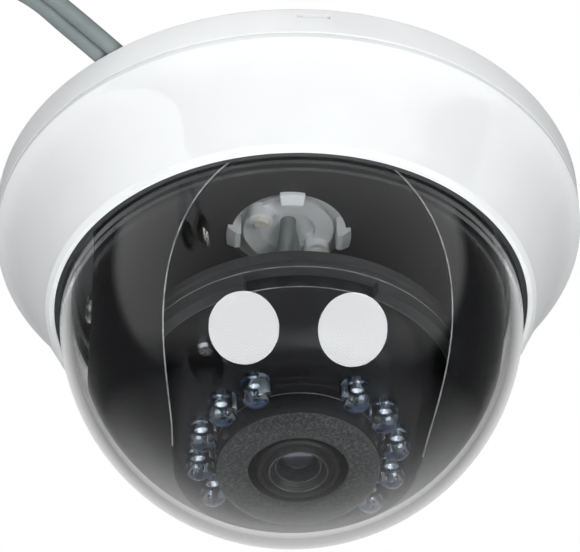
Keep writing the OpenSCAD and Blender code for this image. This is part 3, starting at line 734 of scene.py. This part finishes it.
def add_liner():
    """shell with flat cheeks, turned about the tilt axis, with the window cut in it"""
    inner_r = LINER_R - LINER_T
    inner_x = CHEEK_X - CHEEK_T
    outer_a = math.degrees(math.asin(CHEEK_X / LINER_R))
    inner_a = math.degrees(math.asin(inner_x / inner_r))
    outer = arc((0, 0), LINER_R, -outer_a, outer_a, 72)
    inner = arc((0, 0), inner_r, inner_a, -inner_a, 72)
    outer[0] = (*outer[0], 0.6)
    outer[-1] = (*outer[-1], 0.6)
    sideways = BALL @ Matrix.Rotation(math.radians(90), 4, "Y")
    bm = bmesh.new()
    lathe(bm, rounded([
        (PIVOT_HOLE_R, -CHEEK_X, 0.2), *outer, (PIVOT_HOLE_R, CHEEK_X, 0.2), (PIVOT_HOLE_R, inner_x),
        *inner, (PIVOT_HOLE_R, -inner_x)], 3), sideways)
    piece = make("inner_liner", bm)
    top = DOME_DROP + PLATE_BOTTOM - 0.02
    flange_z = DOME_DROP + FLANGE_BOTTOM
    bm = bmesh.new()
    block(bm, (-50, -50, top), (50, 50, top + 30), BALL)
    combine(piece, bm, "DIFFERENCE")
    bm = bmesh.new()
    lathe(bm, rounded([(31, top), (33.9, top), (33.9, flange_z), (31, flange_z, 0.3)]), BALL)
    combine(piece, bm, "UNION")
    bm = bmesh.new()
    front = [bm.verts.new(BALL @ Vector((x, -60, z)) * MM) for x, z in window_outline()]
    back = [bm.verts.new(BALL @ Vector((x, 0, z)) * MM) for x, z in window_outline()]
    bm.faces.new(front)
    bm.faces.new(back)
    for i in range(len(front)):
        bm.faces.new((front[i - 1], front[i], back[i], back[i - 1]))
    bmesh.ops.recalc_face_normals(bm, faces=bm.faces)
    combine(piece, bm, "DIFFERENCE")
    bm = bmesh.new()
    lathe(bm, cylinder_outline(WINDOW_POLE_R, -50, -20), BALL)
    for a in FLANGE_SCREW_ANGLES:
        lathe(bm, cylinder_outline(0.95, 15, 27), BALL @ turned(a, FLANGE_SCREW_R), 32)
    combine(piece, bm, "DIFFERENCE")
    return finish_piece(piece, "pan_body", "black_gloss", ["liner"])


def add_window_edge():
    """thin light grey line round the window's edge, a painted highlight where the lamps catch the rounded edge,
    down to where the round opening begins
    """
    path = []
    for x, z in window_outline():
        y = -math.sqrt(max(0.0, LINER_R ** 2 - x * x - z * z))
        if z < DOME_DROP + PLATE_BOTTOM - 0.5 and math.hypot(x, y) > WINDOW_POLE_R:
            path.append((x, y, z))
    sides = [[p for p in path if p[0] < 0], [p for p in path if p[0] > 0]]
    for name, side in zip(("window_edge_left", "window_edge_right"), sides):
        side.sort(key=lambda p: p[2])
        edge = tube_curve(name, [BALL @ Vector(p) for p in side], 0.26)
        edge.data.materials.append(MATERIALS["painted_edge_highlight"])
        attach(edge, "pan_body")


def add_edge_line(name, body, r, z, diameter, material="painted_edge_highlight"):
    """fine light line round one of the turned rims of the tilt ring or the module: a painted highlight where the
    lamps catch the rim
    """
    bm = bmesh.new()
    half = diameter / 2
    around = [math.radians(45 * i) for i in range(8)]
    lathe(bm, [(r + half * math.cos(a), z + half * math.sin(a)) for a in around], AIMED)
    line = make(name, bm, sharp=80)
    line.data.materials.append(MATERIALS[material])
    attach(line, body)


add_liner()
add_window_edge()

# ---- camera module ---------------------------------------------------------------------------

LAMP_ANGLES = [
    -90 + side * (LAMP_GAP / 2 + LAMP_PITCH * i) for side in (-1, 1) for i in range(LAMPS_PER_SIDE)
]


def add_front_shell():
    """shouldered shell with the screw pockets, the lamp holes, the rim's notches and a small mark"""
    shoulder = bezier([(RIM_R, -20.9), (27.2, -26), (24.6, -31), (20.2, PLATE_Z)], 24)
    inside = bezier([(RIM_R - SHELL_T, -20.5), (25.8, -25.4), (23.4, -29.6), (19.6, PLATE_Z + SHELL_T)], 18)
    bm = bmesh.new()
    lathe(bm, rounded([
        (RIM_R - SHELL_T, -15.55, 0.2), (29.5, -15.55, 0.2), (29.5, -17, 0.2), (RIM_R, -17.1), *shoulder,
        (STEP_R, PLATE_Z, 0.25), (STEP_R, STEP_Z, 0.35), (SHROUD_R, STEP_Z, 0.15),
        (SHROUD_R, SHROUD_FRONT, 0.25), (LENS_HOLE_R, SHROUD_FRONT), (LENS_HOLE_R, SHROUD_FRONT + 1.2),
        (SHROUD_R - SHELL_T, SHROUD_FRONT + 1.2), (SHROUD_R - SHELL_T, STEP_Z), (LENS_HOLE_R, STEP_Z),
        (LENS_HOLE_R, PLATE_Z + SHELL_T), *reversed(inside)]), AIMED, 256)
    piece = make("front_moulding", bm, sharp=25)
    bm = bmesh.new()
    pockets = [AIMED @ turned(a, POCKET_RING_R) for a in POCKET_ANGLES]
    for place in pockets:
        lathe(bm, cylinder_outline(POCKET_R + 1, -32, POCKET_FLOOR + 1.5), place, 64)
    cups = make("pocket_cups", bm)
    bm = bmesh.new()
    within = [(r - SHELL_T / 2, z) for r, z in shoulder]
    lathe(bm, [(0, -16), (within[0][0], -16), *within, (0, PLATE_Z + 0.4)], AIMED)
    combine(cups, bm, "INTERSECT")
    bm = bmesh.new()
    bm.from_mesh(cups.data)
    bpy.data.objects.remove(cups)
    combine(piece, bm, "UNION", sharp=25)
    bm = bmesh.new()
    hole_r = LAMP_D / 2 + 0.15
    recess_r = LAMP_D / 2 + 0.5
    for a in LAMP_ANGLES:
        lathe(bm, [
            (0, -33.6), (recess_r, -33.6), (recess_r, PLATE_Z), (hole_r, PLATE_Z), (hole_r, -28),
            (0, -28)], AIMED @ turned(a, LAMP_RING_R), 48)
    for place in pockets:
        lathe(bm, [
            (0, -45), (POCKET_R, -45), (POCKET_R, POCKET_FLOOR), (0.95, POCKET_FLOOR), (0.95, -14),
            (0, -14)], place, 64)
    lathe(bm, cylinder_outline(2.6, -34, -28), AIMED @ turned(90, LAMP_RING_R), 48)
    for i in range(NOTCH_COUNT):
        place = AIMED @ turned(i * 360 / NOTCH_COUNT)
        block(bm, (RIM_R - 0.5, -0.9, -20.3), (RIM_R + 1.5, 0.9, -17.9), place)
    place = AIMED @ turned(-88.8) @ Matrix.Translation((26.8, 0, -25.65))
    mark = place @ Matrix.Rotation(math.radians(116), 4, "Y")
    lathe(bm, [(0.45, -0.3), (0.7, -0.3), (0.7, 2), (0.45, 2)], mark, 32)
    combine(piece, bm, "DIFFERENCE", sharp=25)
    return finish_piece(piece, "lens_module", "black_gloss", ["front_shell"])


def add_lamp(number, angle):
    """clear lamp with a domed head, and the lead frame inside it"""
    place = AIMED @ turned(angle, LAMP_RING_R)
    r = LAMP_D / 2
    bm = bmesh.new()
    head = arc((0, -33.85), r, 0, -90, 16)
    head[-1] = (0, head[-1][1])
    lathe(bm, [(0, -28.82), (2.8, -28.82), (2.8, -29.45), (r, -29.5), *head], place, 64)
    lamp = finish_piece(make(f"lamp_{number}", bm), "lens_module", "lamp_epoxy",
                        [f"infrared_lamp_{number}"])
    bm = bmesh.new()
    aside = place @ Matrix.Translation((0.2, 0, 0))
    lathe(bm, rounded([
        (0, -29.2), (0.45, -29.2), (0.45, -31.6, 0.1), (0.7, -32.8, 0.08), (0.52, -32.8), (0.2, -32.3),
        (0, -32.3)]), aside, 32)
    block(bm, (-0.7, -0.5, -31.2), (0.8, 0.5, -30.8), aside, 0.1)
    block(bm, (-1.4, -0.3, -32.6), (-1.05, 0.3, -29.2), place, 0.1)
    core = make(f"lamp_core_{number}", bm)
    core.data.materials.append(MATERIALS["lamp_cup"])
    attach(core, "lens_module")
    return lamp, core


def add_foam():
    """light shield of foam round the lens, with a crowned front"""
    bm = bmesh.new()
    lathe(bm, rounded([
        (8.8, SHROUD_FRONT - 0.02, 0.2), (FOAM_R, SHROUD_FRONT - 0.02, 0.2), (FOAM_R, -37.4, 0.5),
        (13.2, FOAM_FRONT, 1.2), (8.9, FOAM_FRONT, 0.6)], 6), AIMED, 160)
    piece = finish_piece(make("light_shield", bm, sharp=80), "lens_module", "foam", ["foam_ring"])
    return piece


def add_lens():
    """barrel with a stepped front rim, and the front glass in it"""
    bm = bmesh.new()
    front = LENS_FRONT
    lathe(bm, rounded([
        (3.0, -31), (6.0, -31), (7.4, -31, 0.2), (7.4, -37.2, 0.3), (7.0, front + 0.2, 0.15),
        (6.5, front + 0.2, 0.1), (6.3, front + 0.9, 0.1), (5.7, front + 0.9, 0.1), (5.3, front, 0.1),
        (4.9, front, 0.08), (4.6, front + 0.35, 0.05), (4.55, front + 0.55, 0.05), (4.1, front + 1.0, 0.05),
        (4.0, front + 1.25, 0.05), (LENS_SEAT_R, front + 1.35, 0.05), (LENS_SEAT_R, front + 3.9),
        (3.0, front + 3.9)]), AIMED, 160)
    barrel = make("barrel_front", bm)
    bm = bmesh.new()
    lathe(bm, [
        (3.0, -31.5), (6.0, -31.5), (6.0, -23), (LENS_SEAT_R, -23), (LENS_SEAT_R, -25), (3.0, -25)],
        AIMED, 96)
    combine(barrel, bm, "UNION")
    finish_piece(barrel, "lens_module", "lens_black", ["lens_barrel"])
    apex = front + 1.35
    edge = math.degrees(math.asin(LENS_R / LENS_CURVE_R))
    cap = arc((0, apex + LENS_CURVE_R), LENS_CURVE_R, -90, -90 + edge, 14)
    cap[0] = (0, cap[0][1])
    bm = bmesh.new()
    lathe(bm, [*cap, (LENS_R, front + 3.8), (0, front + 3.8)], AIMED, 96)
    glass = make("front_glass", bm)
    finish_piece(glass, "lens_module", "lens_glass", ["lens_front_element"])


add_front_shell()
for lamp_number, lamp_angle in enumerate(LAMP_ANGLES, start=1):
    add_lamp(lamp_number, lamp_angle)
add_foam()
add_lens()
# painted highlights: light lines on the rims where the lamps catch them, fainter ones round the shroud's foot, the
# barrel and the glass
add_edge_line("tilt_ring_line", "tilt_body", 30.5, -17.5, 0.14)
add_edge_line("module_rim_line", "lens_module", RIM_R, -20.4, 0.2)
add_edge_line("shroud_foot_line", "lens_module", SHROUD_R + 0.05, STEP_Z - 0.03, 0.14, "faint_painted_highlight")
add_edge_line("barrel_rim_line", "lens_module", 5.1, LENS_FRONT, 0.14, "faint_painted_highlight")
add_edge_line("glass_rim_line", "lens_module", 3.98, LENS_FRONT + 1.1, 0.14, "faint_painted_highlight")

# ---- CAD nodes that stay ---------------------------------------------------------------------


def dress_cad_nodes():
    """every CAD node gets the material of its record slot, and smooth shading stays as packed"""
    slots = {part["node"]: part["material_slot"] for part in frame["record"]["subparts"]}
    for name, node in frame["nodes"].items():
        node.data.materials.clear()
        node.data.materials.append(MATERIALS[slots[name]])


dress_cad_nodes()

# ---- stage and light -------------------------------------------------------------------------

# Brightness of the studio by how far a direction points towards the camera: -1 is straight behind the
# object and 1 is the camera's own side. BELOW counts only under the object, WALLS only in front of it.
BEHIND = [(-1, 0.9), (-0.975, 0.75), (-0.9, 0.48), (-0.8, 0.2), (-0.62, 0.05), (-0.3, 0.01), (1, 0.004)]
BELOW = [(-1, 0), (-0.9, 0.2), (-0.64, 0.8), (-0.47, 0.62), (-0.24, 0.36), (0.0, 0.2), (0.47, 0.17),
         (0.75, 0.03)]
WALLS = [(-1, 0.6), (-0.6, 0.55), (-0.3, 0.45), (0.1, 0.38), (0.3, 0.34), (0.56, 0.24), (0.8, 0.13),
         (1, 0.05)]
# where the lamps are, as the camera sees them: right, up and towards the camera
LEFT_BOX = (-0.387, -0.076, 0.92)
RIGHT_BOX = (0.492, -0.091, 0.866)
OVERHEAD_BOX = (0, 0.5, 0.87)
LAMP_DISTANCE = 1.0
SIDE_SPREAD = 17
OVERHEAD_SPREAD = 32


def add_floor():
    bm = bmesh.new()
    bmesh.ops.create_grid(bm, x_segments=1, y_segments=1, size=6.0)
    floor = make("floor", bm)
    floor.location.z = -1.1
    floor.data.materials.append(surface("floor", (0.8, 0.8, 0.8), 0.8, 5.0, 0.1, mottle=0.01))
    floor.visible_glossy = False
    floor.visible_transmission = False


def add_softbox(name, direction, spread, power, glossy):
    """a round lamp seen from the bubble in a camera direction, with spread its angular radius

    A glossy one shows only as a mirrored disc, and any other only lights what is matt.
    """
    turn = camera.matrix_world.to_3x3()
    centre = Vector((0, 0, -DOME_DROP * MM))
    data = bpy.data.lights.new(name, "AREA")
    data.shape = "DISK"
    data.size = 2 * LAMP_DISTANCE * math.tan(math.radians(spread))
    data.energy = power
    data.color = (0.97, 0.985, 1.0) if glossy else (1.0, 1.0, 1.0)
    light = bpy.data.objects.new(name, data)
    bpy.context.scene.collection.objects.link(light)
    light.location = centre + turn @ Vector(direction).normalized() * LAMP_DISTANCE
    light.rotation_euler = (centre - light.location).to_track_quat("-Z", "Y").to_euler()
    light.visible_camera = False
    light.visible_glossy = glossy
    light.visible_diffuse = not glossy
    light.visible_transmission = False
    return light


def add_world():
    """the studio as the bubble mirrors it: white behind and below, grey walls, dark beside the camera"""
    world = bpy.data.worlds.new("studio")
    bpy.context.scene.world = world
    world.use_nodes = True
    tree = world.node_tree
    background = tree.nodes["Background"]
    where = tree.nodes.new("ShaderNodeTexCoord")

    def toward(axis, stops):
        """brightness by how far a direction points along an axis: 1 along it, -1 against it"""
        dot = tree.nodes.new("ShaderNodeVectorMath")
        dot.operation = "DOT_PRODUCT"
        dot.inputs[1].default_value = axis
        shift = tree.nodes.new("ShaderNodeMapRange")
        shift.inputs["From Min"].default_value = -1.0
        ramp = tree.nodes.new("ShaderNodeValToRGB")
        elements = ramp.color_ramp.elements
        while len(elements) < len(stops):
            elements.new(0.5)
        for element, (along, value) in zip(elements, stops):
            element.position = (along + 1) / 2
            element.color = (value, value, value, 1)
        tree.links.new(where.outputs["Generated"], dot.inputs[0])
        tree.links.new(dot.outputs["Value"], shift.inputs["Value"])
        tree.links.new(shift.outputs["Result"], ramp.inputs["Fac"])
        return ramp.outputs["Color"]

    def both(operation, first, second):
        node = tree.nodes.new("ShaderNodeVectorMath")
        node.operation = operation
        tree.links.new(first, node.inputs[0])
        tree.links.new(second, node.inputs[1])
        return node.outputs["Vector"]

    eye = (EYE - TARGET).normalized()
    up = camera.matrix_world.to_3x3() @ Vector((0, 1, 0))
    behind = toward(eye, BEHIND)
    below = both("MULTIPLY", toward(eye, BELOW), toward(up, [(-0.75, 1), (-0.35, 0)]))
    front = both("MULTIPLY", toward((0, -1, 0), [(-0.02, 0), (0.06, 1)]),
                 toward(up, [(-0.34, 0), (-0.08, 1)]))
    walls = both("MULTIPLY", toward(eye, WALLS), front)
    light = both("ADD", both("ADD", behind, below), walls)
    path = tree.nodes.new("ShaderNodeLightPath")
    mix = tree.nodes.new("ShaderNodeMix")
    mix.data_type = "RGBA"
    mix.inputs["B"].default_value = (1, 1, 1, 1)
    tree.links.new(light, mix.inputs["A"])
    tree.links.new(path.outputs["Is Camera Ray"], mix.inputs["Factor"])
    tree.links.new(mix.outputs["Result"], background.inputs["Color"])


add_floor()
add_world()
for side_name, box_direction in (("left", LEFT_BOX), ("right", RIGHT_BOX)):
    add_softbox(f"{side_name}_glint", box_direction, SIDE_SPREAD, 13.0, True)
    add_softbox(f"{side_name}_softbox", box_direction, SIDE_SPREAD, 5.5, False)
add_softbox("overhead_softbox", OVERHEAD_BOX, OVERHEAD_SPREAD, 3.8, False)

bpy.context.scene.view_settings.view_transform = "Standard"
